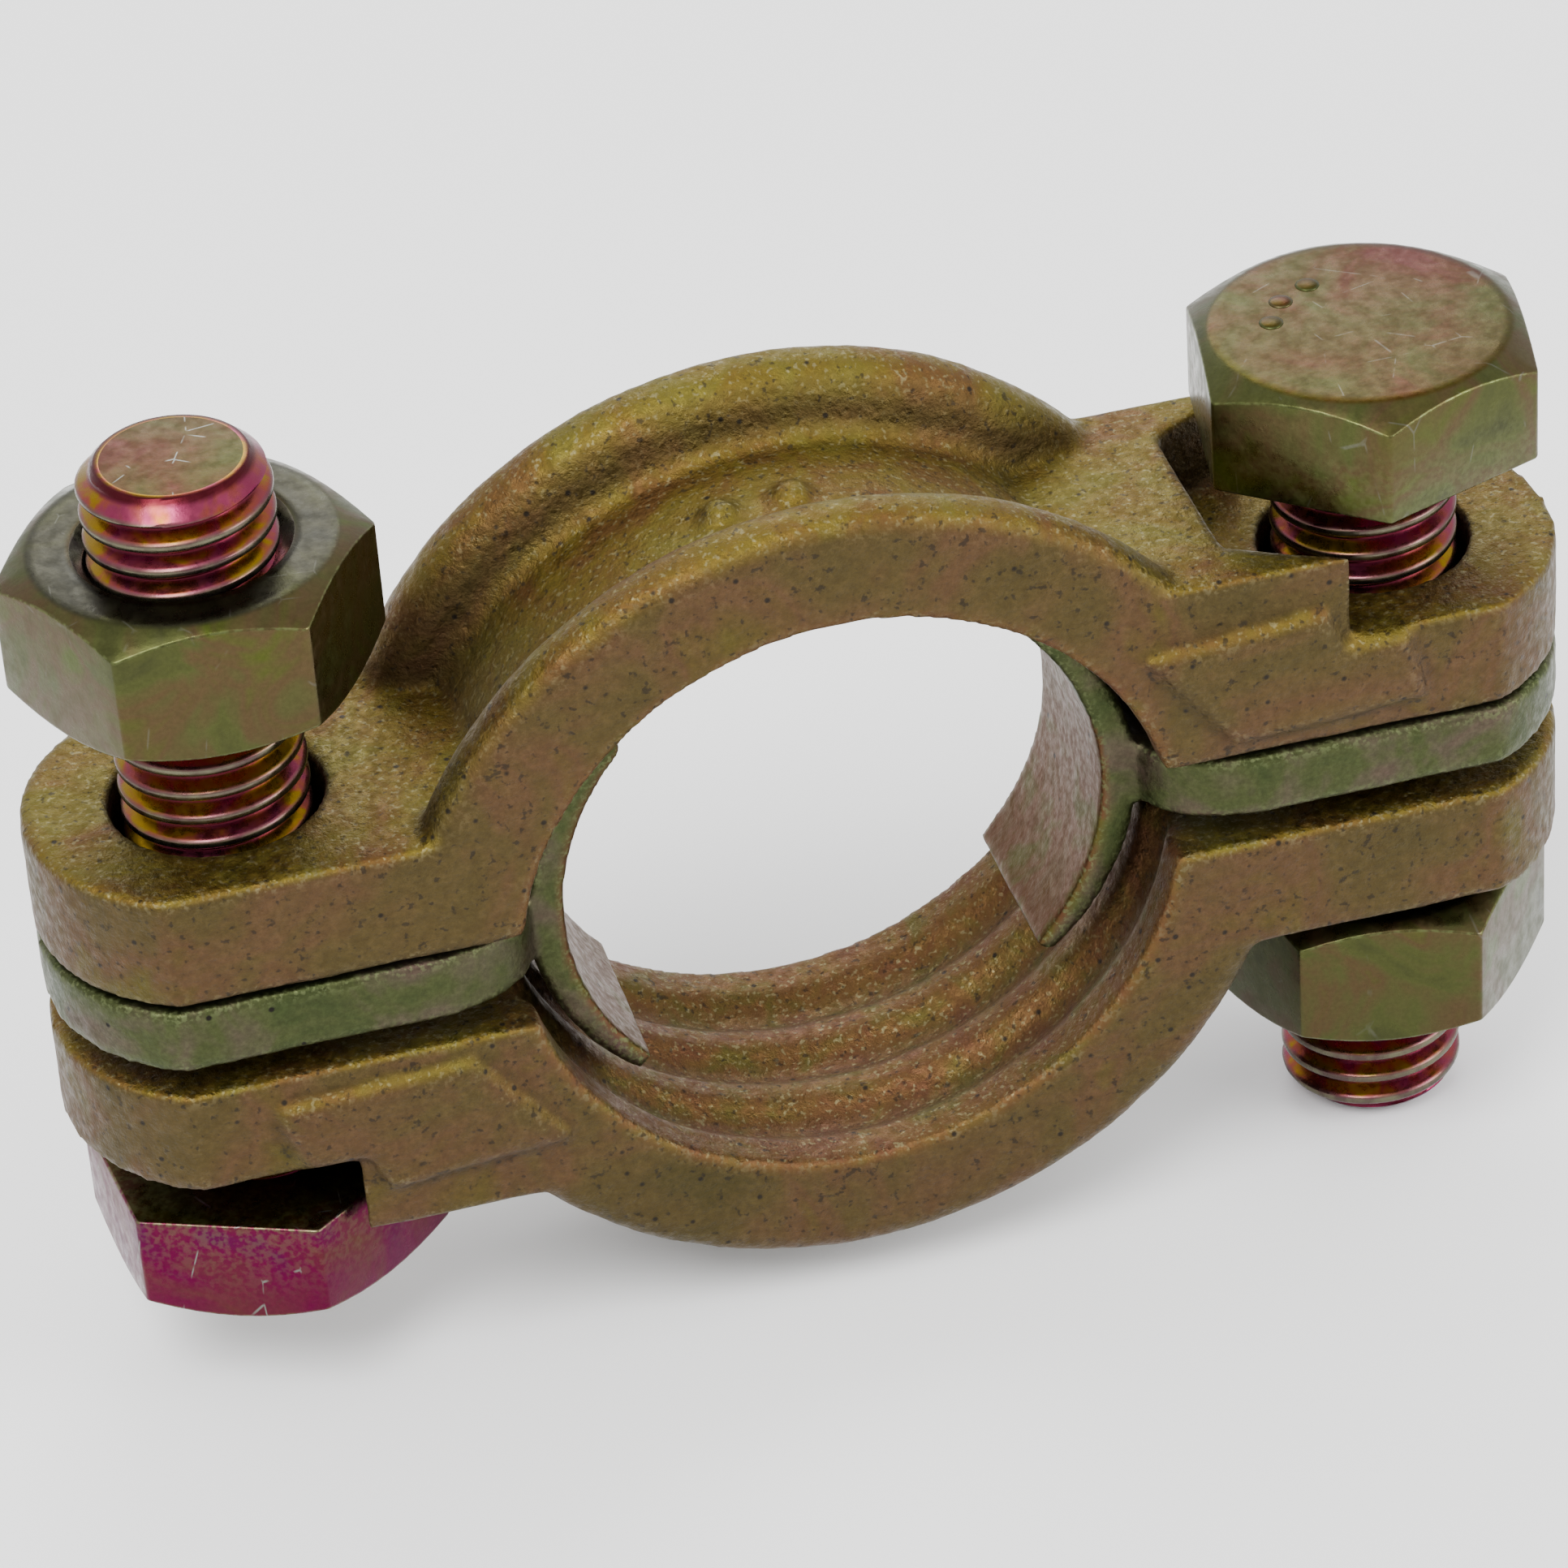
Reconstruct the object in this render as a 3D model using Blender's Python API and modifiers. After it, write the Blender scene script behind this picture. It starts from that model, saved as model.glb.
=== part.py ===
"""Two-bolt hose clamp: two cast half shells, two loose saddles, two hex bolts and two hex nuts.

The bore runs along Y through the origin, the lugs lie along X and the bolts stand along Z.
All sizes are in millimetres and are turned into metres by MM where the meshes are made.
The pieces stand in the loose, part-opened position that clamp_close counts from.
"""
import math

import bmesh
import bpy
from mathutils import Matrix, Vector

MM = 0.001

# Driving dimensions of the castings
BOLT_X = 31.2            # bolt axes at +X and -X
RING_WIDTH = 18.4        # of the ring and the lugs, along Y
BORE_R = 17.7            # bore at its rims, about each half's own centre
ARC_SHIFT = 0.75         # each half's centre lies this far past the bore axis
FLANGE_R = 23.95         # outer radius of the two flanges
CHANNEL_R = 20.3         # floor of the channel between the flanges
LUG_END_R = 10.2         # rounded end of a lug, about its bolt
HOLE_R = 5.6             # bolt holes, cast with plenty of room
NUT_LUG = (1.9, 8.6)     # inner and outer face of the plain lug under a nut
HEAD_LUG = (3.8, 9.9)    # inner face and pocket floor of the lug under a bolt head
STEP_TOP = 14.8          # top of the step that keeps a bolt head from turning
POCKET_APOTHEM = 9.6     # from the bolt axis to the pocket's walls
PAD_RISE = 0.6           # raised panel on the front of the head lug
GROOVE_PITCH = 5.0       # three grip grooves in the bore
GROOVE_WIDTH = 3.6
GROOVE_DEPTH = 0.9

# Driving dimensions of the saddles
PLATE_THICK = 3.7
PLATE_HALF_WIDTH = 9.15
NECK_START = 23.0        # the plate narrows from here, along X
NECK_END = 16.6          # to here, where it meets the tongue
TONGUE_R = 14.63         # inner face of the tongue
TONGUE_HALF_WIDTH = 5.5
TONGUE_ANGLE = math.radians(43)
TONGUE_ROOT = 2.0        # thickness at the middle of the tongue
TONGUE_TIP = 1.0         # thickness at its ends
FIT_GAP = 0.3            # between pieces that rest on each other

# Driving dimensions of the fasteners, M10 with 17 mm across flats
FLATS = 17.0
SHANK_R = 4.9
SHANK_LENGTH = 42.4
TIP_CHAMFER = 0.9
HEAD_HEIGHT = 6.4
NUT_HEIGHT = 8.0
NUT_BORE_R = 5.3
NUT_MOUTH_R = 5.9
HEX_CHAMFER_R = 8.1      # where the 30 degree chamfer starts on the end faces

# Places of the fasteners in the loose position: bearing face height and hexagon turn
LEFT_HEAD_Z = -13.5
RIGHT_HEAD_Z = 16.65
LEFT_NUT_Z = 16.0        # lower face
RIGHT_NUT_Z = -9.9       # upper face
LEFT_HEAD_TURN = math.radians(6.2)
RIGHT_HEAD_TURN = math.radians(-10.4)
LEFT_NUT_TURN = math.radians(-32.2)
RIGHT_NUT_TURN = math.radians(19.1)

HALF_WIDTH = RING_WIDTH / 2
LUG_HALF_WIDTH = HALF_WIDTH - 0.05     # a hair inside the ring's faces, so no faces coincide
STEP_HALF_WIDTH = HALF_WIDTH - 0.1
LUG_START = 12.0         # lugs and step reach in through the ring, to be trimmed by the bore
FAR = 60.0               # reach of the cutters, past every piece
ROUND_STEPS = 96         # segments round the ring and its bore
SMALL_STEPS = 32         # segments round holes, shanks and chamfers
MERGE = 0.00002

CASTING = ("casting", (0.30, 0.22, 0.09), 0.48, 0.85)
SADDLE = ("saddle_casting", (0.26, 0.25, 0.12), 0.45, 0.85)
BOLT = ("bolt_steel", (0.36, 0.22, 0.18), 0.32, 0.95)
NUT = ("nut_steel", (0.30, 0.28, 0.14), 0.34, 0.95)


# ---------------------------------------------------------------- scene and helpers

def clear_scene():
    for obj in list(bpy.data.objects):
        bpy.data.objects.remove(obj, do_unlink=True)


def new_collection(name):
    collection = bpy.data.collections.new(name)
    bpy.context.scene.collection.children.link(collection)
    return collection


def make_material(name, colour, roughness, metallic):
    material = bpy.data.materials.new(name)
    material.use_nodes = True
    shader = material.node_tree.nodes["Principled BSDF"]
    shader.inputs["Base Color"].default_value = (*colour, 1.0)
    shader.inputs["Roughness"].default_value = roughness
    shader.inputs["Metallic"].default_value = metallic
    return material


def link(collection, name, mesh):
    obj = bpy.data.objects.new(name, mesh)
    collection.objects.link(obj)
    return obj


def as_cutter(obj):
    obj.hide_render = True
    obj.display_type = 'WIRE'
    return obj


def as_part(obj):
    """Take a shape made as a cutter into the parts."""
    obj.hide_render = False
    obj.display_type = 'TEXTURED'
    CUTTERS.objects.unlink(obj)
    PARTS.objects.link(obj)
    return obj


def cylinder(name, radius, low, high, centre=(0.0, 0.0), steps=SMALL_STEPS):
    """A cylinder along Z between the heights low and high."""
    mesh = bpy.data.meshes.new(name)
    bm = bmesh.new()
    bmesh.ops.create_cone(bm, cap_ends=True, segments=steps, radius1=radius * MM,
                          radius2=radius * MM, depth=(high - low) * MM)
    offset = Vector((centre[0], centre[1], (low + high) / 2)) * MM
    bmesh.ops.translate(bm, verts=bm.verts, vec=offset)
    bm.to_mesh(mesh)
    bm.free()
    return as_cutter(link(CUTTERS, name, mesh))


def block(name, low, high):
    """A box between two corners."""
    mesh = bpy.data.meshes.new(name)
    bm = bmesh.new()
    bmesh.ops.create_cube(bm, size=1.0)
    low, high = Vector(low) * MM, Vector(high) * MM
    bmesh.ops.scale(bm, verts=bm.verts, vec=high - low)
    bmesh.ops.translate(bm, verts=bm.verts, vec=(low + high) / 2)
    bm.to_mesh(mesh)
    bm.free()
    return as_cutter(link(CUTTERS, name, mesh))


def prism(name, outline, low, high, upright=False):
    """A flat outline given thickness: in XY from z = low to high, or, upright, in XZ along Y."""
    curve = bpy.data.curves.new(name, 'CURVE')
    curve.dimensions = '2D'
    curve.fill_mode = 'BOTH'
    curve.extrude = (high - low) / 2 * MM
    spline = curve.splines.new('POLY')
    spline.points.add(len(outline) - 1)
    for point, (x, y) in zip(spline.points, outline):
        point.co = (x * MM, y * MM, 0.0, 1.0)
    spline.use_cyclic_u = True
    guide = link(CUTTERS, name + "_outline", curve)
    bpy.context.view_layer.update()
    evaluated = guide.evaluated_get(bpy.context.evaluated_depsgraph_get())
    mesh = bpy.data.meshes.new_from_object(evaluated)
    bpy.data.objects.remove(guide, do_unlink=True)

    place = Matrix.Translation((0, 0, (low + high) / 2 * MM))
    if upright:
        place = Matrix.Rotation(math.radians(90), 4, 'X') @ Matrix.Translation(
            (0, 0, -(low + high) / 2 * MM))
    bm = bmesh.new()
    bm.from_mesh(mesh)
    bmesh.ops.remove_doubles(bm, verts=bm.verts, dist=MERGE)
    bmesh.ops.transform(bm, matrix=place, verts=bm.verts)
    bmesh.ops.recalc_face_normals(bm, faces=bm.faces)
    bm.to_mesh(mesh)
    bm.free()
    return as_cutter(link(CUTTERS, name, mesh))


def turned(name, profile, steps, collection=None):
    """A solid of revolution about Z from (radius, height) points, top to bottom."""
    mesh = bpy.data.meshes.new(name)
    bm = bmesh.new()
    verts = [bm.verts.new((radius * MM, 0.0, height * MM)) for radius, height in profile]
    for first, second in zip(verts, verts[1:]):
        bm.edges.new((first, second))
    bm.to_mesh(mesh)
    bm.free()
    obj = link(collection or CUTTERS, name, mesh)
    screw = obj.modifiers.new("Turn", 'SCREW')
    screw.steps = steps
    screw.render_steps = steps
    screw.use_merge_vertices = True
    screw.merge_threshold = MERGE
    return obj if collection else as_cutter(obj)


def applied(obj):
    """The object's evaluated mesh, with its modifiers baked in, about the same origin."""
    bpy.context.view_layer.update()
    evaluated = obj.evaluated_get(bpy.context.evaluated_depsgraph_get())
    mesh = bpy.data.meshes.new_from_object(evaluated)
    obj.modifiers.clear()
    obj.data = mesh
    return obj


def lay_along_y(obj):
    """Turn a solid made about Z so that its axis is Y, in its mesh."""
    obj.data.transform(Matrix.Rotation(math.radians(90), 4, 'X'))
    return obj


def boolean(obj, tool, operation):
    modifier = obj.modifiers.new(operation.title() + " " + tool.name, 'BOOLEAN')
    modifier.object = tool
    modifier.operation = operation
    modifier.solver = 'EXACT'


def arc(centre, radius, start, end, count):
    """Points on a circle in the plane of an outline, both ends included."""
    points = []
    for index in range(count + 1):
        angle = start + (end - start) * index / count
        points.append((centre[0] + radius * math.cos(angle),
                       centre[1] + radius * math.sin(angle)))
    return points


def finish_piece(obj, look, sharp_degrees=35):
    obj.data.shade_smooth()
    obj.data.set_sharp_from_angle(angle=math.radians(sharp_degrees))
    obj.data.materials.clear()
    obj.data.materials.append(MATERIALS[look[0]])
    return obj


# ---------------------------------------------------------------- cast halves

def lug_outline(side, start, half_width):
    """Plan of a lug from x = start to its rounded end; side is +1 or -1."""
    turn = math.asin(half_width / LUG_END_R)
    end = arc((BOLT_X, 0.0), LUG_END_R, -turn, turn, 20)
    plan = [(start, -half_width)] + end + [(start, half_width)]
    return [(side * x, y) for x, y in plan]


def step_outline():
    """Plan of the step: its far side is three walls of a hexagonal pocket round the bolt."""
    wall = BOLT_X - POCKET_APOTHEM
    corner = POCKET_APOTHEM * math.tan(math.radians(30))
    mouth = wall + (STEP_HALF_WIDTH - corner) / math.tan(math.radians(30))
    return [(LUG_START, -STEP_HALF_WIDTH), (mouth, -STEP_HALF_WIDTH), (wall, -corner),
            (wall, corner), (mouth, STEP_HALF_WIDTH), (LUG_START, STEP_HALF_WIDTH)]


def pad_outline():
    """Raised panel on the front of the head lug, in XZ."""
    return [(31.4, 5.6), (21.0, 5.0), (16.2, 11.1), (25.9, 11.9), (26.9, 9.5), (30.3, 9.5)]


def ring_profile():
    """Half a section of the ring with its bore filled: two flanges and the channel."""
    crown = [(FLANGE_R - 1.0, HALF_WIDTH), (FLANGE_R - 0.25, HALF_WIDTH - 0.45),
             (FLANGE_R, HALF_WIDTH - 1.2), (FLANGE_R, HALF_WIDTH - 2.2),
             (FLANGE_R - 0.5, HALF_WIDTH - 3.1), (FLANGE_R - 1.4, HALF_WIDTH - 3.7),
             (CHANNEL_R + 0.7, HALF_WIDTH - 4.2), (CHANNEL_R, HALF_WIDTH - 4.9)]
    mirrored = [(radius, -height) for radius, height in reversed(crown)]
    return [(0.0, HALF_WIDTH)] + crown + mirrored + [(0.0, -HALF_WIDTH)]


def bore_profile():
    """The bore with three shallow round-bottomed grooves that grip the hose."""
    profile = [(0.0, HALF_WIDTH + 2), (BORE_R, HALF_WIDTH + 2)]
    for centre in (GROOVE_PITCH, 0.0, -GROOVE_PITCH):
        for index in range(7):
            share = index / 6
            depth = GROOVE_DEPTH * math.sin(math.pi * share)
            profile.append((BORE_R + depth, centre + GROOVE_WIDTH * (0.5 - share)))
    return profile + [(BORE_R, -HALF_WIDTH - 2), (0.0, -HALF_WIDTH - 2)]


def half_shell(name, turned_over):
    """The upper half as modelled, or the same casting turned over about the bore axis."""
    shell = lay_along_y(applied(turned(name, ring_profile(), ROUND_STEPS, PARTS)))
    shell.data.transform(Matrix.Translation((0, 0, -ARC_SHIFT * MM)))
    nut_lug = prism(name + "_nut_lug", lug_outline(-1, LUG_START, LUG_HALF_WIDTH), 0.0, NUT_LUG[1])
    head_lug = prism(name + "_head_lug", lug_outline(1, LUG_START, LUG_HALF_WIDTH), 0.0, HEAD_LUG[1])
    step = prism(name + "_step", step_outline(), HEAD_LUG[0] + 1, STEP_TOP)
    pad = prism(name + "_pad", pad_outline(), -HALF_WIDTH - PAD_RISE, -HALF_WIDTH + 2, upright=True)
    for body in (nut_lug, head_lug, step, pad):
        boolean(shell, body, 'UNION')

    below_nut_lug = block(name + "_parting_nut_side", (-FAR, -FAR, -FAR), (0, FAR, NUT_LUG[0]))
    below_head_lug = block(name + "_parting_head_side", (-1, -FAR, -FAR), (FAR, FAR, HEAD_LUG[0]))
    bore = lay_along_y(applied(turned(name + "_bore", bore_profile(), ROUND_STEPS)))
    bore.data.transform(Matrix.Translation((0, 0, -ARC_SHIFT * MM)))
    nut_hole = cylinder(name + "_hole_nut_side", HOLE_R, -FAR, FAR, (-BOLT_X, 0.0))
    head_hole = cylinder(name + "_hole_head_side", HOLE_R, -FAR, FAR, (BOLT_X, 0.0))
    for cutter in (below_nut_lug, below_head_lug, bore, nut_hole, head_hole):
        boolean(shell, cutter, 'DIFFERENCE')
    applied(shell)
    if turned_over:
        shell.data.transform(Matrix.Rotation(math.radians(180), 4, 'Y'))
    return finish_piece(shell, CASTING)


# ---------------------------------------------------------------- saddles

def plate_outline():
    """Plan of a saddle's plate: rounded like the lugs, narrowing in a curve to the tongue."""
    turn = math.asin(PLATE_HALF_WIDTH / LUG_END_R)
    end = arc((BOLT_X, 0.0), LUG_END_R, -turn, turn, 20)
    neck_half_width = TONGUE_HALF_WIDTH - 0.1
    neck = []
    for index in range(10):
        x, y = math.sin(math.radians(10 * index)), math.cos(math.radians(10 * index))
        neck.append((NECK_START - (NECK_START - NECK_END) * x,
                     neck_half_width + (PLATE_HALF_WIDTH - neck_half_width) * y))
    neck.append((TONGUE_R + TONGUE_TIP, neck_half_width))
    mirrored = [(x, -y) for x, y in reversed(neck)]
    return mirrored + end + neck


def tongue_outline():
    """A crescent in XZ: concave towards the hose, thickest where the plate joins it."""
    tip_r = TONGUE_R + TONGUE_TIP
    root_r = TONGUE_R + TONGUE_ROOT
    tip = Vector((tip_r * math.cos(TONGUE_ANGLE), tip_r * math.sin(TONGUE_ANGLE)))
    shift = (root_r ** 2 - tip_r ** 2) / (2 * (root_r - tip.x))
    outer_angle = math.atan2(tip.y, tip.x - shift)
    inner = arc((0.0, 0.0), TONGUE_R, TONGUE_ANGLE, -TONGUE_ANGLE, 24)
    outer = arc((shift, 0.0), root_r - shift, -outer_angle, outer_angle, 24)
    return inner + outer


def saddle(name, side, height):
    """A loose saddle on the +X or -X bolt, with its plate's middle at the given height."""
    half = PLATE_THICK / 2
    plate = as_part(prism(name, plate_outline(), -half, half))
    boolean(plate, prism(name + "_tongue", tongue_outline(), -TONGUE_HALF_WIDTH,
                         TONGUE_HALF_WIDTH, upright=True), 'UNION')
    boolean(plate, cylinder(name + "_hole", HOLE_R, -half - 1, half + 1, (BOLT_X, 0.0)), 'DIFFERENCE')
    applied(plate)
    if side < 0:
        plate.data.transform(Matrix.Rotation(math.radians(180), 4, 'Z'))
    plate.location = (0.0, 0.0, height * MM)
    return finish_piece(plate, SADDLE)


# ---------------------------------------------------------------- bolts and nuts

def hexagon(name, height, chamfer_bottom):
    """A hexagonal block from z = 0 up to height, chamfered on top and, for a nut, below.

    Two of its flats face +X and -X.
    """
    corner_r = FLATS / 2 / math.cos(math.radians(30))
    drop = (corner_r - HEX_CHAMFER_R) * math.tan(math.radians(30))
    outline = arc((0.0, 0.0), corner_r, math.radians(30), math.radians(330), 5)
    obj = as_part(prism(name, outline, 0.0, height))
    wide = corner_r + 0.5
    wide_drop = drop * (wide - HEX_CHAMFER_R) / (corner_r - HEX_CHAMFER_R)
    profile = [(0.0, height), (HEX_CHAMFER_R, height), (wide, height - wide_drop)]
    if chamfer_bottom:
        profile += [(wide, wide_drop), (HEX_CHAMFER_R, 0.0), (0.0, 0.0)]
    else:
        profile += [(wide, -1.0), (0.0, -1.0)]
    boolean(obj, turned(name + "_chamfer", profile, SMALL_STEPS * 2), 'INTERSECT')
    return obj


def bolt(name, side, bearing_z, head_up, turn):
    """A hex bolt with its bearing face at bearing_z; the shank runs the other way from its head."""
    shank = [(0.0, 0.5), (SHANK_R, 0.5), (SHANK_R, TIP_CHAMFER - SHANK_LENGTH),
             (SHANK_R - TIP_CHAMFER, -SHANK_LENGTH), (0.0, -SHANK_LENGTH)]
    head = hexagon(name, HEAD_HEIGHT, False)
    boolean(head, turned(name + "_shank", shank, SMALL_STEPS), 'UNION')
    applied(head)
    if not head_up:
        head.data.transform(Matrix.Rotation(math.radians(180), 4, 'X'))
    head.location = (side * BOLT_X * MM, 0.0, bearing_z * MM)
    head.rotation_euler = (0.0, 0.0, turn)
    return finish_piece(head, BOLT)


def nut(name, side, lower_z, turn):
    body = hexagon(name, NUT_HEIGHT, True)
    mouth = NUT_MOUTH_R - NUT_BORE_R
    bore = [(0.0, NUT_HEIGHT + 1), (NUT_MOUTH_R, NUT_HEIGHT + 1), (NUT_MOUTH_R, NUT_HEIGHT),
            (NUT_BORE_R, NUT_HEIGHT - mouth), (NUT_BORE_R, mouth),
            (NUT_MOUTH_R, 0.0), (NUT_MOUTH_R, -1.0), (0.0, -1.0)]
    boolean(body, turned(name + "_bore", bore, SMALL_STEPS), 'DIFFERENCE')
    applied(body)
    body.location = (side * BOLT_X * MM, 0.0, lower_z * MM)
    body.rotation_euler = (0.0, 0.0, turn)
    return finish_piece(body, NUT)


# ---------------------------------------------------------------- assembly

clear_scene()
PARTS = new_collection("hose_clamp")
CUTTERS = new_collection("cutters")
MATERIALS = {look[0]: make_material(*look) for look in (CASTING, SADDLE, BOLT, NUT)}

half_shell("upper_half", False)
half_shell("lower_half", True)
saddle("left_saddle", -1, NUT_LUG[0] - FIT_GAP - PLATE_THICK / 2)
saddle("right_saddle", 1, HEAD_LUG[0] - FIT_GAP - PLATE_THICK / 2)
bolt("left_bolt", -1, LEFT_HEAD_Z, False, LEFT_HEAD_TURN)
bolt("right_bolt", 1, RIGHT_HEAD_Z, True, RIGHT_HEAD_TURN)
nut("left_nut", -1, LEFT_NUT_Z, LEFT_NUT_TURN)
nut("right_nut", 1, RIGHT_NUT_Z - NUT_HEIGHT, RIGHT_NUT_TURN)
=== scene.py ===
"""Looks of the two-bolt hose clamp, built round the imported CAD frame.

Castings and saddles are remeshed from their CAD solids, rounded and roughened as sand castings are.
Bolts and nuts are built new, with rounded hexagons and real helical threads.
Sizes are in millimetres, and MM turns them into metres where meshes, textures and lights are made.
"""
import math

import bmesh
import bpy
import numpy as np
from mathutils import Matrix, Vector, noise


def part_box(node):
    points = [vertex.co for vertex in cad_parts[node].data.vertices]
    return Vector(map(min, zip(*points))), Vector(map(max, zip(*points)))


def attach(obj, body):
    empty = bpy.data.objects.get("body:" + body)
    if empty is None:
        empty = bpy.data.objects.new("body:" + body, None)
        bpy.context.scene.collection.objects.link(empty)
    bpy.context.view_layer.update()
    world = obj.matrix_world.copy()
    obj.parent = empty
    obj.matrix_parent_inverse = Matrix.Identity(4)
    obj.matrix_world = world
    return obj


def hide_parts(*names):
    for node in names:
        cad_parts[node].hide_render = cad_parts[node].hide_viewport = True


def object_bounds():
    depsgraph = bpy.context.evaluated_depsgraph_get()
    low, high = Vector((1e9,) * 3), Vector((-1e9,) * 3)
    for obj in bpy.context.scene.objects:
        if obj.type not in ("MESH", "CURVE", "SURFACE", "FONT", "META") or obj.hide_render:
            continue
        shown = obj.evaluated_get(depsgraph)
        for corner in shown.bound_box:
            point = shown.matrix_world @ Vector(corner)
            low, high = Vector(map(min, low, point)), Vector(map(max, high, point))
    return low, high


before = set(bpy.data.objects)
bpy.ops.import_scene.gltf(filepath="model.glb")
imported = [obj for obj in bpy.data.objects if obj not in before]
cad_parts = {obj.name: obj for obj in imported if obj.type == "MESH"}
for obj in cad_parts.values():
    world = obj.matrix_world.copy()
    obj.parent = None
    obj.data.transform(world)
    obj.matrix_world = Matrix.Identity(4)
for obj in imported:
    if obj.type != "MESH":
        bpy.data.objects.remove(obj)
cad_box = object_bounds()

MM = 0.001

# Castings
VOXEL = 0.30              # size of the remesh
ROUNDING = 8              # smoothing rounds, which round the edges
SKIN_WAVE = 0.05          # unevenness of the skin
EDGE_BEND = 0.10          # share of a voxel by which a vertex on a full edge stands out
FLAT_BEND = 0.15          # bends below this count as flat
ARC_SHIFT = 0.75          # each half's bore is centred this far past the clamp's axis
HALF_BORE_REACH = 19.5    # the walls of the bore lie within this radius
TONGUE_REACH = 15.2       # the same for the saddles' faces to the hose

# Threads, M10 x 1.5
PITCH = 1.5
THREAD_MAJOR = 4.95       # crest radius of the bolt thread
THREAD_MINOR = 4.12       # root radius of the bolt thread
THREAD_CREST = 0.24       # flat share of half a pitch at the crest
THREAD_ROOT = 0.10        # and at the root
THREAD_ROWS = 14          # rows of vertices in one pitch
THREAD_COLUMNS = 72       # columns round a thread and a hexagon
STEEL_SLOT = 0            # material slots of bolts and nuts
THREAD_SLOT = 1

# Hexagons
SIDES = 6
FLATS = 17.0              # across flats
CORNER_ROUND = 0.35       # radius on the upright edges
CORNER_POINTS = 5         # points on each of them
CHAMFER_R = 7.95          # where the 30 degree chamfer starts
CHAMFER_SLOPE = math.tan(math.radians(30))
LEAST_DROP = 0.11         # of the chamfer, where it would fade out
FACE_EDGE = ((-0.55, 0.0), (-0.15, 0.015), (0.10, 0.10))                 # past CHAMFER_R, drop
SIDE_EDGE = ((0.10, -0.02, 0.0), (0.02, 0.0, 0.05), (0.0, 0.0, 0.17))    # inset, before and past LEAST_DROP
UNDER_EDGE = ((0.0, 0.16), (0.05, 0.05), (0.16, 0.0))                    # inset, height over the bearing face

# Bolts and nuts
BOLT_X = 31.2             # bolt axes at +X and -X
HEAD_HEIGHT = 6.4
HEAD_SINK = 0.4           # reach of the shank into its head
NECK_R = 4.55             # plain neck under the head
NECK_LENGTH = 1.6
RUN_OUT = 2.6             # the thread is full from here
RUN_OUT_SLOPE = 0.5
TIP_CHAMFER = 1.0         # along the bolt
TIP_INSET = 1.05          # across it
CAP_SHARE = 0.93          # the caps' flat share of the radius
CAP_RISE = {"top": 0.05, "tip": -0.02}
NUT_PLAY = (0.09, 0.16)   # how much wider than the bolt thread, at its crest and root
NUT_MOUTH_R = THREAD_MAJOR + 0.75
NUT_MOUTH_SLOPE = 0.95
NUT_LIP = 0.5             # flat ring round the mouth
HEX_TURN = {"left_bolt": math.radians(6.2), "right_bolt": math.radians(-10.4),
            "left_nut": math.radians(-32.2), "right_nut": math.radians(19.1)}

# Plain raised dots stand where a maker would cast or stamp a mark
CAST_DOTS = {"upper_half": (((-3.6, -0.3, 18.9), 1.15), ((0.2, -0.3, 19.25), 1.15))}    # centre, radius
HEAD_DOTS = (math.radians(118), math.radians(145), math.radians(172))
HEAD_DOT_REACH = 4.6
HEAD_DOT_R = 0.65
HEAD_DOT_FLATNESS = 0.22

# Interference colours of the plating, as ramp stops
MAGENTA = [(0.30, (0.34, 0.07, 0.21)), (0.45, (0.42, 0.09, 0.20)),
           (0.60, (0.40, 0.14, 0.17)), (0.76, (0.33, 0.24, 0.10))]
OLIVE = [(0.28, (0.18, 0.19, 0.10)), (0.44, (0.26, 0.28, 0.13)),
         (0.58, (0.32, 0.24, 0.15)), (0.70, (0.26, 0.31, 0.11))]
OLIVE_TOP = [(0.32, (0.08, 0.078, 0.055)), (0.50, (0.11, 0.105, 0.065)), (0.68, (0.13, 0.135, 0.055))]
PINK_TOP = [(0.34, (0.25, 0.085, 0.07)), (0.50, (0.20, 0.115, 0.035)), (0.66, (0.15, 0.145, 0.02))]

# Studio
FLOOR_GAP = 0.4           # below the lowest point
FLOOR_REACH = 1500.0
WORLD_STRENGTH = 1.45
LIGHTS = (("key", (-250, -300, 550), 350, 4.5),      # place, diameter, watts
          ("fill", (500, -350, 300), 400, 3.0),
          ("rim", (100, 500, 400), 350, 1.5))
CAMERA_AZIMUTH = math.radians(-12.853)
CAMERA_ELEVATION = math.radians(35.058)
CAMERA_ROLL = math.radians(-4.316)
CAMERA_DISTANCE = 358.0
CAMERA_SHIFT = (-1.297, 1.015)                       # to the right and up, in the view
FOCAL_LENGTH = 154.93
SENSOR_WIDTH = 36.0


# ---------------------------------------------------------------- node helpers

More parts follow.
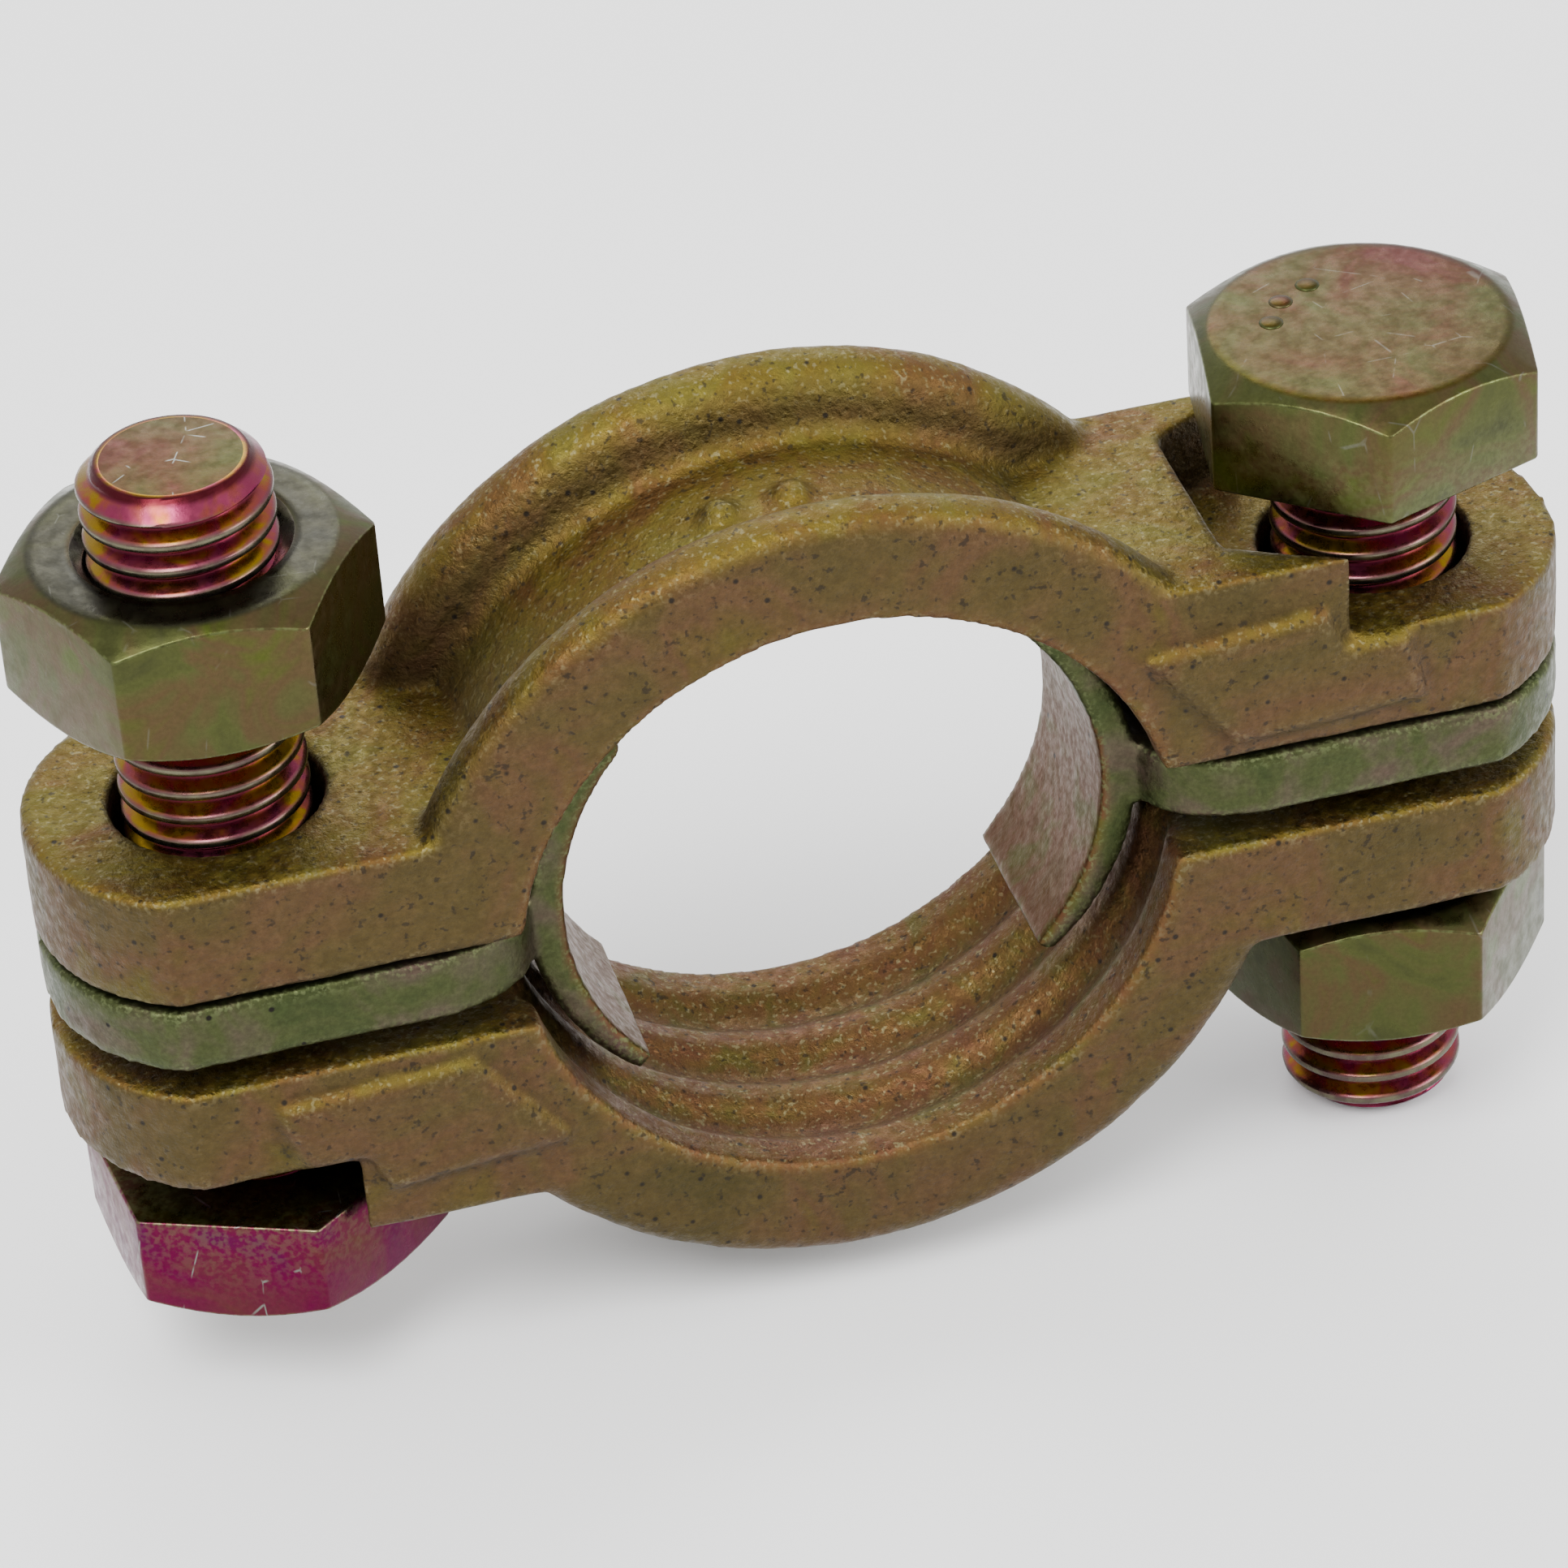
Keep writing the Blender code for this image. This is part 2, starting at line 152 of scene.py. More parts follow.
class Shader:
    """A small builder for a material's node tree."""

    def __init__(self, name):
        self.material = bpy.data.materials.new(name)
        self.material.use_nodes = True
        self.tree = self.material.node_tree
        self.bsdf = self.tree.nodes["Principled BSDF"]
        self.coords = self.tree.nodes.new("ShaderNodeTexCoord").outputs["Object"]

    def put(self, socket, value):
        if isinstance(value, bpy.types.NodeSocket):
            self.tree.links.new(value, socket)
        else:
            socket.default_value = value

    def noise(self, size, detail, roughness, distortion=0.0):
        """Noise whose features are about size across."""
        node = self.tree.nodes.new("ShaderNodeTexNoise")
        self.put(node.inputs["Vector"], self.coords)
        node.inputs["Scale"].default_value = 1.0 / (size * MM)
        node.inputs["Detail"].default_value = detail
        node.inputs["Roughness"].default_value = roughness
        node.inputs["Distortion"].default_value = distortion
        return node.outputs["Fac"]

    def stretched(self, scale, turn):
        node = self.tree.nodes.new("ShaderNodeMapping")
        self.put(node.inputs["Vector"], self.coords)
        node.inputs["Scale"].default_value = scale
        node.inputs["Rotation"].default_value = turn
        return node.outputs["Vector"]

    def cells(self, size, feature='F1', vector=None):
        """Distance to the middle of the nearest cell, or, for DISTANCE_TO_EDGE, to its edge."""
        node = self.tree.nodes.new("ShaderNodeTexVoronoi")
        node.feature = feature
        self.put(node.inputs["Vector"], vector or self.coords)
        node.inputs["Scale"].default_value = 1.0 / (size * MM)
        return node.outputs["Distance"]

    def ramp(self, value, stops):
        """Colours by value; stops are (position, colour or grey)."""
        node = self.tree.nodes.new("ShaderNodeValToRGB")
        self.put(node.inputs["Fac"], value)
        elements = node.color_ramp.elements
        while len(elements) < len(stops):
            elements.new(0.5)
        for element, (position, colour) in zip(elements, stops):
            rgb = colour if isinstance(colour, tuple) else (colour,) * 3
            element.position = position
            element.color = (*rgb, 1.0)
        return node.outputs["Color"]

    def mix(self, factor, first, second, blend='MIX'):
        node = self.tree.nodes.new("ShaderNodeMix")
        node.data_type = 'RGBA'
        node.blend_type = blend
        self.put(node.inputs["Factor"], factor)
        self.put(node.inputs[6], (*first, 1.0) if isinstance(first, tuple) else first)
        self.put(node.inputs[7], (*second, 1.0) if isinstance(second, tuple) else second)
        return node.outputs[2]

    def maths(self, operation, first, second=0.0, clamp=False):
        node = self.tree.nodes.new("ShaderNodeMath")
        node.operation = operation
        node.use_clamp = clamp
        self.put(node.inputs[0], first)
        self.put(node.inputs[1], second)
        return node.outputs[0]

    def attribute(self, name):
        node = self.tree.nodes.new("ShaderNodeAttribute")
        node.attribute_name = name
        return node.outputs["Fac"]

    def normal(self, axis):
        """One component of the surface's own direction, in the object's axes."""
        coords = self.tree.nodes.new("ShaderNodeTexCoord")
        split = self.tree.nodes.new("ShaderNodeSeparateXYZ")
        self.tree.links.new(coords.outputs["Normal"], split.inputs[0])
        return split.outputs[axis]

    def bump(self, height, depth, strength, after=None):
        """Bumps of the given depth, on top of those that come before."""
        node = self.tree.nodes.new("ShaderNodeBump")
        node.inputs["Strength"].default_value = strength
        node.inputs["Distance"].default_value = depth * MM
        self.put(node.inputs["Height"], height)
        if after is not None:
            self.tree.links.new(after, node.inputs["Normal"])
        return node.outputs["Normal"]

    def finish(self, colour, roughness, metallic, normal=None, value=1.0, saturation=1.0):
        """Plug everything into the shader, with the colour deepened by value and saturation."""
        depth = self.tree.nodes.new("ShaderNodeHueSaturation")
        depth.inputs["Saturation"].default_value = saturation
        depth.inputs["Value"].default_value = value
        self.put(depth.inputs["Color"], colour)
        self.put(self.bsdf.inputs["Base Color"], depth.outputs["Color"])
        self.put(self.bsdf.inputs["Roughness"], roughness)
        self.put(self.bsdf.inputs["Metallic"], metallic)
        if normal is not None:
            self.tree.links.new(normal, self.bsdf.inputs["Normal"])
        return self.material


# ---------------------------------------------------------------- materials

def casting_material():
    """Sand-cast iron, yellow zinc plated: olive and gold brown, grainy, with dark specks; painted light on
    the tops and edges, painted glints, and painted shade in concave corners.
    """
    s = Shader("cast_yellow_zinc")
    patches = s.noise(9.0, 3.0, 0.6, 0.6)
    colour = s.ramp(patches, [(0.30, (0.20, 0.155, 0.060)), (0.45, (0.26, 0.185, 0.075)),
                              (0.56, (0.30, 0.175, 0.090)), (0.70, (0.27, 0.215, 0.060))])
    grain = s.noise(0.30, 5.0, 0.7)
    colour = s.mix(0.55, colour, s.ramp(grain, [(0.33, 0.30), (0.50, 0.50), (0.68, 0.78)]), 'OVERLAY')
    # Faces that look up turn gold: partly the plating's own tint, partly painted light from above.
    facing_up_lit = s.maths('MULTIPLY', s.maths('SUBTRACT', s.normal("Z"), 0.20, clamp=True), 1.6, clamp=True)
    gold = s.ramp(s.noise(4.5, 4.0, 0.6, 0.8), [(0.34, (0.42, 0.22, 0.08)), (0.50, (0.46, 0.32, 0.07)),
                                                (0.66, (0.46, 0.38, 0.08))])
    colour = s.mix(facing_up_lit, colour, gold)
    rosy = s.ramp(s.noise(3.0, 3.0, 0.6, 0.5), [(0.36, (0.40, 0.19, 0.10)), (0.52, (0.44, 0.25, 0.10)),
                                                (0.66, (0.34, 0.27, 0.08))])
    colour = s.mix(s.attribute("bore"), colour, rosy)
    # Painted highlight along convex edges, brightened toward pale gold; partly also rubbed metal.
    edge_shine_and_wear = s.maths('MULTIPLY', s.attribute("worn_and_lit_edges"),
                      s.ramp(s.noise(0.30, 2.0, 0.5), [(0.54, 0.0), (0.64, 0.75)]), clamp=True)
    edge_shine_and_wear = s.maths('MULTIPLY', edge_shine_and_wear, s.ramp(s.noise(3.0, 3.0, 0.6), [(0.40, 0.3), (0.60, 1.0)]))
    colour = s.mix(edge_shine_and_wear, colour, (0.70, 0.62, 0.36))
    # Painted glints: small bright specks on faces that look up.
    glints = s.ramp(s.noise(0.28, 1.0, 0.4), [(0.60, 0.0), (0.72, 0.55)])
    colour = s.mix(s.maths('MULTIPLY', glints, facing_up_lit), colour, (0.95, 0.85, 0.45))
    # Painted shade: concave corners darkened toward near black.
    crevice_shade = s.maths('MULTIPLY', s.attribute("shaded_hollow"), 0.85, clamp=True)
    colour = s.mix(crevice_shade, colour, (0.055, 0.035, 0.018))
    specks = s.ramp(s.cells(1.7), [(0.06, 0.9), (0.12, 0.0)])
    freckles = s.ramp(s.noise(0.45, 2.0, 0.5), [(0.30, 0.65), (0.38, 0.0)])
    dirt = s.maths('MAXIMUM', specks, freckles)
    colour = s.mix(dirt, colour, (0.060, 0.052, 0.045))
    roughness = s.ramp(s.noise(0.6, 3.0, 0.6), [(0.35, 0.36), (0.65, 0.62)])
    coarse = s.bump(s.noise(0.75, 4.0, 0.65), 0.16, 0.9)
    fine = s.bump(grain, 0.05, 0.9, coarse)
    pitted = s.bump(s.ramp(s.cells(0.9), [(0.05, 0.0), (0.28, 1.0)]), 0.05, 0.6, fine)
    return s.finish(colour, roughness, 0.93, pitted, 0.25, 1.05)


def saddle_material():
    """Finer casting than the halves, with a green painted highlight on its edges, painted shade in its
    concave corners, and rosy on the face to the hose.
    """
    s = Shader("saddle_yellow_zinc")
    patches = s.noise(5.0, 3.0, 0.6, 0.5)
    colour = s.ramp(patches, [(0.30, (0.15, 0.20, 0.08)), (0.47, (0.22, 0.25, 0.11)),
                              (0.58, (0.30, 0.26, 0.17)), (0.70, (0.34, 0.22, 0.19))])
    grain = s.noise(0.28, 4.0, 0.65)
    colour = s.mix(0.45, colour, s.ramp(grain, [(0.34, 0.32), (0.50, 0.50), (0.66, 0.72)]), 'OVERLAY')
    rosy = s.ramp(s.noise(3.5, 3.0, 0.6, 0.4), [(0.36, (0.36, 0.21, 0.10)), (0.52, (0.42, 0.22, 0.13)),
                                                (0.66, (0.33, 0.28, 0.10))])
    colour = s.mix(s.attribute("bore"), colour, rosy)
    # Painted highlight along convex edges, brightened toward pale green; partly also rubbed metal.
    edge_shine_and_wear = s.maths('MULTIPLY', s.attribute("worn_and_lit_edges"),
                      s.ramp(s.noise(0.25, 2.0, 0.5), [(0.50, 0.0), (0.62, 0.8)]), clamp=True)
    colour = s.mix(edge_shine_and_wear, colour, (0.62, 0.72, 0.36))
    # Painted shade: concave corners darkened toward near black.
    crevice_shade = s.maths('MULTIPLY', s.attribute("shaded_hollow"), 0.6, clamp=True)
    colour = s.mix(crevice_shade, colour, (0.05, 0.04, 0.02))
    specks = s.ramp(s.cells(2.2), [(0.05, 1.0), (0.09, 0.0)])
    colour = s.mix(specks, colour, (0.05, 0.045, 0.035))
    roughness = s.ramp(s.noise(0.5, 3.0, 0.6), [(0.35, 0.34), (0.65, 0.56)])
    coarse = s.bump(s.noise(0.9, 3.0, 0.6), 0.06, 0.7)
    return s.finish(colour, roughness, 0.93, s.bump(grain, 0.035, 0.8, coarse), 0.20, 1.15)


def plated_steel(name, side_stops, top_stops, scratches):
    """Rolled and headed steel, yellow zinc plated: smooth, with slow bands of interference colour and a pale
    painted highlight on its hexagons' edges, partly rubbed metal.
    """
    s = Shader(name)
    bands = s.noise(5.5, 3.0, 0.55, 0.9)
    side = s.ramp(bands, side_stops)
    top = s.ramp(s.noise(6.5, 4.0, 0.6, 0.7), top_stops)
    facing = s.maths('SUBTRACT', s.maths('ABSOLUTE', s.normal("Z")), 0.90, clamp=True)
    colour = s.mix(s.maths('MULTIPLY', facing, 12.0, clamp=True), side, top)
    grain = s.noise(0.22, 3.0, 0.6)
    colour = s.mix(0.30, colour, s.ramp(grain, [(0.36, 0.38), (0.50, 0.50), (0.64, 0.62)]), 'OVERLAY')
    # Painted highlight along the hexagons' convex edges, brightened toward pale yellow green; partly also
    # rubbed metal.
    edge_shine_and_wear = s.maths('MULTIPLY', s.attribute("worn_and_lit_edges"),
                      s.ramp(s.noise(0.35, 2.0, 0.5), [(0.42, 0.15), (0.60, 1.0)]), clamp=True)
    colour = s.mix(edge_shine_and_wear, colour, (0.62, 0.70, 0.36))
    lines = s.cells(3.2, 'DISTANCE_TO_EDGE', s.stretched((1.0, 1.0, 0.45), (0.4, 0.9, 0.3)))
    broken = s.ramp(s.noise(2.0, 2.0, 0.5), [(0.56, 0.0), (0.62, scratches)])
    scratch = s.maths('MULTIPLY', s.ramp(lines, [(0.006, 1.0), (0.014, 0.0)]), broken)
    colour = s.mix(scratch, colour, (0.72, 0.72, 0.66))
    roughness = s.ramp(s.noise(0.9, 3.0, 0.6), [(0.35, 0.24), (0.65, 0.42)])
    coarse = s.bump(s.noise(1.6, 3.0, 0.5), 0.03, 0.5)
    return s.finish(colour, roughness, 0.97, s.bump(grain, 0.012, 0.6, coarse), 0.20, 1.3)


def thread_material():
    """Rolled thread: magenta below, pink and patches of gold on upper flanks, grey green crests, dark roots.
    The gold on upward flanks is partly the plating's tint and partly a painted highlight; the dark roots are
    painted shade.
    """
    s = Shader("thread_yellow_zinc")
    drift = s.maths('MULTIPLY', s.maths('SUBTRACT', s.noise(3.5, 3.0, 0.6, 0.6), 0.52), 2.2)
    # How far a face looks up: magenta to pink for the plating's tint, with gold at the top end that is partly
    # a painted highlight.
    upward_slope_tint_and_light = s.maths('ADD', s.maths('MULTIPLY', s.normal("Z"), 0.5), 0.5)
    value = s.maths('ADD', upward_slope_tint_and_light, s.maths('MULTIPLY', drift, 0.5), clamp=True)
    colour = s.ramp(value, [(0.20, (0.34, 0.04, 0.20)), (0.50, (0.50, 0.08, 0.20)),
                            (0.78, (0.52, 0.12, 0.20)), (0.90, (0.60, 0.18, 0.12)),
                            (1.00, (0.58, 0.36, 0.05))])
    crest = s.ramp(s.noise(1.6, 3.0, 0.6), [(0.38, (0.20, 0.15, 0.13)), (0.62, (0.34, 0.33, 0.22))])
    colour = s.mix(s.attribute("crest"), colour, crest)
    # Painted shade: the thread roots darkened toward deep red.
    colour = s.mix(s.attribute("root"), colour, (0.16, 0.03, 0.04))
    roughness = s.ramp(s.noise(0.7, 3.0, 0.6), [(0.35, 0.20), (0.65, 0.36)])
    return s.finish(colour, roughness, 0.97, s.bump(s.noise(0.25, 3.0, 0.6), 0.012, 0.5), 0.33, 1.1)


def floor_material():
    s = Shader("pale_floor")
    tone = s.ramp(s.noise(60.0, 2.0, 0.5), [(0.3, (0.94, 0.94, 0.94)), (0.7, (0.95, 0.95, 0.95))])
    return s.finish(tone, 0.75, 0.0)


# ---------------------------------------------------------------- mesh helpers

def new_object(name, bm, materials):
    """An object at the origin from a bmesh, which is freed."""
    mesh = bpy.data.meshes.new(name)
    bm.to_mesh(mesh)
    bm.free()
    obj = bpy.data.objects.new(name, mesh)
    bpy.context.scene.collection.objects.link(obj)
    for material in materials:
        mesh.materials.append(material)
    return obj


def evaluated_mesh(obj):
    bpy.context.view_layer.update()
    evaluated = obj.evaluated_get(bpy.context.evaluated_depsgraph_get())
    return bpy.data.meshes.new_from_object(evaluated)


def unit(value):
    return min(max(value, 0.0), 1.0)


def set_attribute(mesh, name, values):
    attribute = mesh.attributes.new(name, 'FLOAT', 'POINT')
    attribute.data.foreach_set("value", np.asarray(values, dtype=np.float32))


def vectors(items, what, count):
    """A vector of each item, as an array with one row per item."""
    found = np.empty(count * 3, dtype=np.float32)
    items.foreach_get(what, found)
    return found.reshape(count, 3).astype(np.float64)


def neighbour_mean(values, edges, degree):
    """The mean of each vertex's neighbours, for one value or one vector per vertex."""
    total = np.zeros_like(values)
    np.add.at(total, edges[:, 0], values[edges[:, 1]])
    np.add.at(total, edges[:, 1], values[edges[:, 0]])
    return total / (degree if values.ndim == 1 else degree[:, None])


def curvature(mesh, rounds, scale):
    """How far each vertex stands out of its neighbours, smoothed; + on edges, - in corners."""
    count = len(mesh.vertices)
    edges = np.empty(len(mesh.edges) * 2, dtype=np.int32)
    mesh.edges.foreach_get("vertices", edges)
    edges = edges.reshape(-1, 2)
    degree = np.maximum(np.bincount(edges.ravel(), minlength=count), 1).astype(np.float64)
    places = vectors(mesh.vertices, "co", count)
    normals = vectors(mesh.vertex_normals, "vector", count)
    values = ((places - neighbour_mean(places, edges, degree)) * normals).sum(axis=1) * scale
    for _ in range(rounds):
        values = (values + neighbour_mean(values, edges, degree)) / 2
    return values


# ---------------------------------------------------------------- castings

def swelling(place):
    """Uneven growth of a cast skin: slow waves, smaller lumps and grit."""
    wide = place / (4.0 * MM)
    return noise.noise(wide) + 0.5 * noise.noise(wide * 3.1) + 0.5 * noise.noise(place / (0.7 * MM))


def remeshed(node):
    """The CAD solid with its raised dots, remeshed and rounded at every edge."""
    bm = bmesh.new()
    bm.from_mesh(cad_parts[node].data)
    for place, radius in CAST_DOTS.get(node, ()):
        centre = Matrix.Translation(Vector(place) * MM)
        bmesh.ops.create_icosphere(bm, subdivisions=3, radius=radius * MM, matrix=centre)
    obj = new_object(node + "_cast", bm, [])
    remesh = obj.modifiers.new("Remesh", 'REMESH')
    remesh.mode = 'VOXEL'
    remesh.voxel_size = VOXEL * MM
    smooth = obj.modifiers.new("Round", 'SMOOTH')
    smooth.factor = 0.5
    smooth.iterations = ROUNDING
    mesh = evaluated_mesh(obj)
    obj.modifiers.clear()
    obj.data = mesh
    return obj


def mark_skin(mesh, places, normals, bore_z, bore_reach):
    """Attributes for the colours: convex edges for a painted highlight and rubbed metal, concave corners for
    painted shade, bore on faces to the hose.
    """
    bend = curvature(mesh, 3, 1.0 / (EDGE_BEND * VOXEL * MM))
    # Convex edges: mask for a painted edge highlight and rubbed metal.
    set_attribute(mesh, "worn_and_lit_edges", np.clip(bend - FLAT_BEND, 0.0, 1.0))
    # Concave corners: mask for painted shade.
    set_attribute(mesh, "shaded_hollow", np.clip(-bend - FLAT_BEND, 0.0, 1.0))
    radial = places * (1.0, 0.0, 1.0) - (0.0, 0.0, bore_z * MM)
    reach = np.linalg.norm(radial, axis=1)
    inward = np.clip(-(normals * radial).sum(axis=1) / reach * 2.0, 0.0, 1.0)
    set_attribute(mesh, "bore", np.where(reach < bore_reach * MM, inward, 0.0))


def cast_piece(node, material, bore_z, bore_reach):
    """A casting made from its CAD solid, with a slightly uneven skin."""
    obj = remeshed(node)
    mesh = obj.data
    count = len(mesh.vertices)
    places = vectors(mesh.vertices, "co", count)
    normals = vectors(mesh.vertex_normals, "vector", count)
    mark_skin(mesh, places, normals, bore_z, bore_reach)
    push = [swelling(Vector(place)) * SKIN_WAVE * MM for place in places]
    places += normals * np.array(push)[:, None]
    mesh.vertices.foreach_set("co", places.astype(np.float32).ravel())
    mesh.update()
    mesh.shade_smooth()
    mesh.materials.clear()
    mesh.materials.append(material)
    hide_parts(node)
    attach(obj, node)


# ---------------------------------------------------------------- hexagons and threads

def on_circle(radius, angle):
    return Vector((radius * math.cos(angle), radius * math.sin(angle)))


def hexagon_outline():
    """Points round a hexagon with rounded corners, flats facing +X and -X, starting at a corner."""
    inner = (FLATS / 2 - CORNER_ROUND) / math.cos(math.radians(30))
    spans = THREAD_COLUMNS // SIDES - CORNER_POINTS + 1
    points = []
    for side in range(SIDES):
        corner = math.radians(30 + 60 * side)
        following = math.radians(30 + 60 * (side + 1))
        for index in range(CORNER_POINTS):
            angle = corner + math.radians(-30 + 60 * index / (CORNER_POINTS - 1))
            points.append(on_circle(inner, corner) + on_circle(CORNER_ROUND, angle))
        start = points[-1]
        end = on_circle(inner, following) + on_circle(CORNER_ROUND, following - math.radians(30))
        points.extend(start.lerp(end, index / spans) for index in range(1, spans))
    return points


def inset(outline, distance):
    return [p * (1 - distance / p.length) for p in outline]


def circle_like(outline, radius):
    return [p.normalized() * radius for p in outline]


def ring_of(bm, points, heights):
    return [bm.verts.new((p.x * MM, p.y * MM, h * MM)) for p, h in zip(points, heights)]


def level_ring(bm, points, height):
    return ring_of(bm, points, [height] * len(points))


def join_rings(bm, first, second, slot=STEEL_SLOT):
    count = len(first)
    for index in range(count):
        after = (index + 1) % count
        face = bm.faces.new((first[index], first[after], second[after], second[index]))
        face.material_index = slot


def hexagon_rings(bm, outline, height, sign):
    """Rings from the end face at this height out over its chamfer to the side.

    sign is +1 for a face that looks up and -1 for one that looks down.
    """
    rings = []
    for past, drop in FACE_EDGE:
        rings.append(level_ring(bm, circle_like(outline, CHAMFER_R + past), height - sign * drop))
    drops = [max(p.length - CHAMFER_R, 0.0) * CHAMFER_SLOPE for p in outline]
    for distance, before, past in SIDE_EDGE:
        heights = [height - sign * (max(drop + before, LEAST_DROP) + past) for drop in drops]
        rings.append(ring_of(bm, inset(outline, distance), heights))
    return rings


def thread_radius(share, major, minor):
    """Radius of a 60 degree thread at a share of its pitch, with flat crest and rounded root."""
    distance = abs((share % 1.0) - 0.5) * 2          # 0 at the root, 1 at the crest
    rise = unit((distance - THREAD_ROOT) / (1 - THREAD_ROOT - THREAD_CREST))
    rise = rise * 0.75 + 0.25 * (rise * rise * (3 - 2 * rise))
    return minor + (major - minor) * rise


def thread_wall(bm, low, high, limit, major, minor, world_low, cut):
    """A helical thread between two heights, as a wall of quads that is open at both ends.

    limit(z) is the plain outline that trims the thread, by cut: min outside, max inside.
    Rows follow the helix, so crests are clean edges. world_low sets the thread's phase.
    """
    crest = bm.verts.layers.float["crest"]
    root = bm.verts.layers.float["root"]
    start = math.floor((low + world_low) / PITCH) * PITCH - world_low
    rows = (int((high - low) / PITCH) + 2) * THREAD_ROWS
    grid = []
    for column in range(THREAD_COLUMNS):
        turned = column / THREAD_COLUMNS
        line = []
        for row in range(-THREAD_ROWS, rows + 1):
            z = start + (row / THREAD_ROWS + turned) * PITCH
            placed = min(max(z, low), high)
            radius = cut(thread_radius((placed - start) / PITCH - turned, major, minor), limit(placed))
            point = on_circle(radius, 2 * math.pi * turned)
            vert = bm.verts.new((point.x * MM, point.y * MM, placed * MM))
            span = (radius - minor) / (major - minor)
            vert[crest] = unit((span - 0.86) * 7.0)
            vert[root] = unit((0.22 - span) * 4.5)
            line.append(vert)
        grid.append(line)
    grid.append(grid[0][THREAD_ROWS:])               # the seam: one turn on is one pitch up
    for here, there in zip(grid, grid[1:]):
        for row in range(len(there) - 1):
            corners = (here[row], there[row], there[row + 1], here[row + 1])
            face = bm.faces.new(corners if cut is min else tuple(reversed(corners)))
            face.material_index = THREAD_SLOT
    bmesh.ops.remove_doubles(bm, verts=bm.verts, dist=1e-6)
    bmesh.ops.dissolve_degenerate(bm, dist=1e-7, edges=bm.edges)


def open_ring(bm, height):
    """The boundary vertices of a mesh at one height, in order of their angle."""
    found = {v for e in bm.edges if e.is_boundary for v in e.verts
             if abs(v.co.z - height * MM) < 1e-6}
    return sorted(found, key=lambda v: math.atan2(v.co.y, v.co.x) % (2 * math.pi - 1e-5))


def marked_bmesh():
    """An empty bmesh with the layers that a thread's colours read: crests, and roots for painted shade."""
    bm = bmesh.new()
    bm.verts.layers.float.new("crest")
    bm.verts.layers.float.new("root")
    return bm


def shank(length, world_z):
    """The threaded shank, hanging from z = 0, with a chamfered tip, as its own closed mesh."""
    def limit(z):
        at_tip = THREAD_MAJOR - TIP_INSET + (z + length) * TIP_INSET / TIP_CHAMFER
        neck = NECK_R + max(-z - NECK_LENGTH, 0.0) * RUN_OUT_SLOPE
        return min(at_tip, neck if -z < RUN_OUT else THREAD_MAJOR + 1)

    bm = marked_bmesh()
    thread_wall(bm, -length, HEAD_SINK, limit, THREAD_MAJOR, THREAD_MINOR, world_z, min)
    for height, rise in ((-length, CAP_RISE["tip"]), (HEAD_SINK, CAP_RISE["top"])):
        ring = open_ring(bm, height)
        cap = []
        for vert in ring:
            x, y, z = vert.co
            cap.append(bm.verts.new((x * CAP_SHARE, y * CAP_SHARE, z + rise * MM)))
        join_rings(bm, ring, cap, THREAD_SLOT)
        bm.faces.new(cap)
    bmesh.ops.recalc_face_normals(bm, faces=bm.faces)
    return bm


def head():
    """The hexagonal head, standing on z = 0, with its raised dots."""
    outline = hexagon_outline()
    bm = marked_bmesh()
    rings = hexagon_rings(bm, outline, HEAD_HEIGHT, 1)
    for distance, height in UNDER_EDGE:
        rings.append(level_ring(bm, inset(outline, distance), height))
    for first, second in zip(rings, rings[1:]):
        join_rings(bm, first, second)
    bm.faces.new(rings[0])
    bm.faces.new(list(reversed(rings[-1])))
    for angle in HEAD_DOTS:
        spot = on_circle(HEAD_DOT_REACH, angle).to_3d() * MM
        spot.z = HEAD_HEIGHT * MM
        flat = Matrix.Translation(spot) @ Matrix.Diagonal((1.0, 1.0, HEAD_DOT_FLATNESS, 1.0))
        bmesh.ops.create_icosphere(bm, subdivisions=3, radius=HEAD_DOT_R * MM, matrix=flat)
    bmesh.ops.recalc_face_normals(bm, faces=bm.faces)
    return bm


def bolt(node, head_up):
    """A hex bolt at its CAD node's place: the head and the threaded shank, as one mesh."""
    low, high = (Vector(corner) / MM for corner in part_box(node))
    bearing = high.z - HEAD_HEIGHT if head_up else low.z + HEAD_HEIGHT
    flip = Matrix.Identity(4) if head_up else Matrix.Rotation(math.pi, 4, 'X')
    top = head()
    bmesh.ops.transform(top, matrix=Matrix.Rotation(HEX_TURN[node], 4, 'Z') @ flip, verts=top.verts)
    stem = shank(high.z - low.z - HEAD_HEIGHT, bearing)
    bmesh.ops.transform(stem, matrix=flip, verts=stem.verts)
    passed = bpy.data.meshes.new("passed")
    stem.to_mesh(passed)
    stem.free()
    top.from_mesh(passed)
    bpy.data.meshes.remove(passed)
    finish_steel(node, top, bearing)


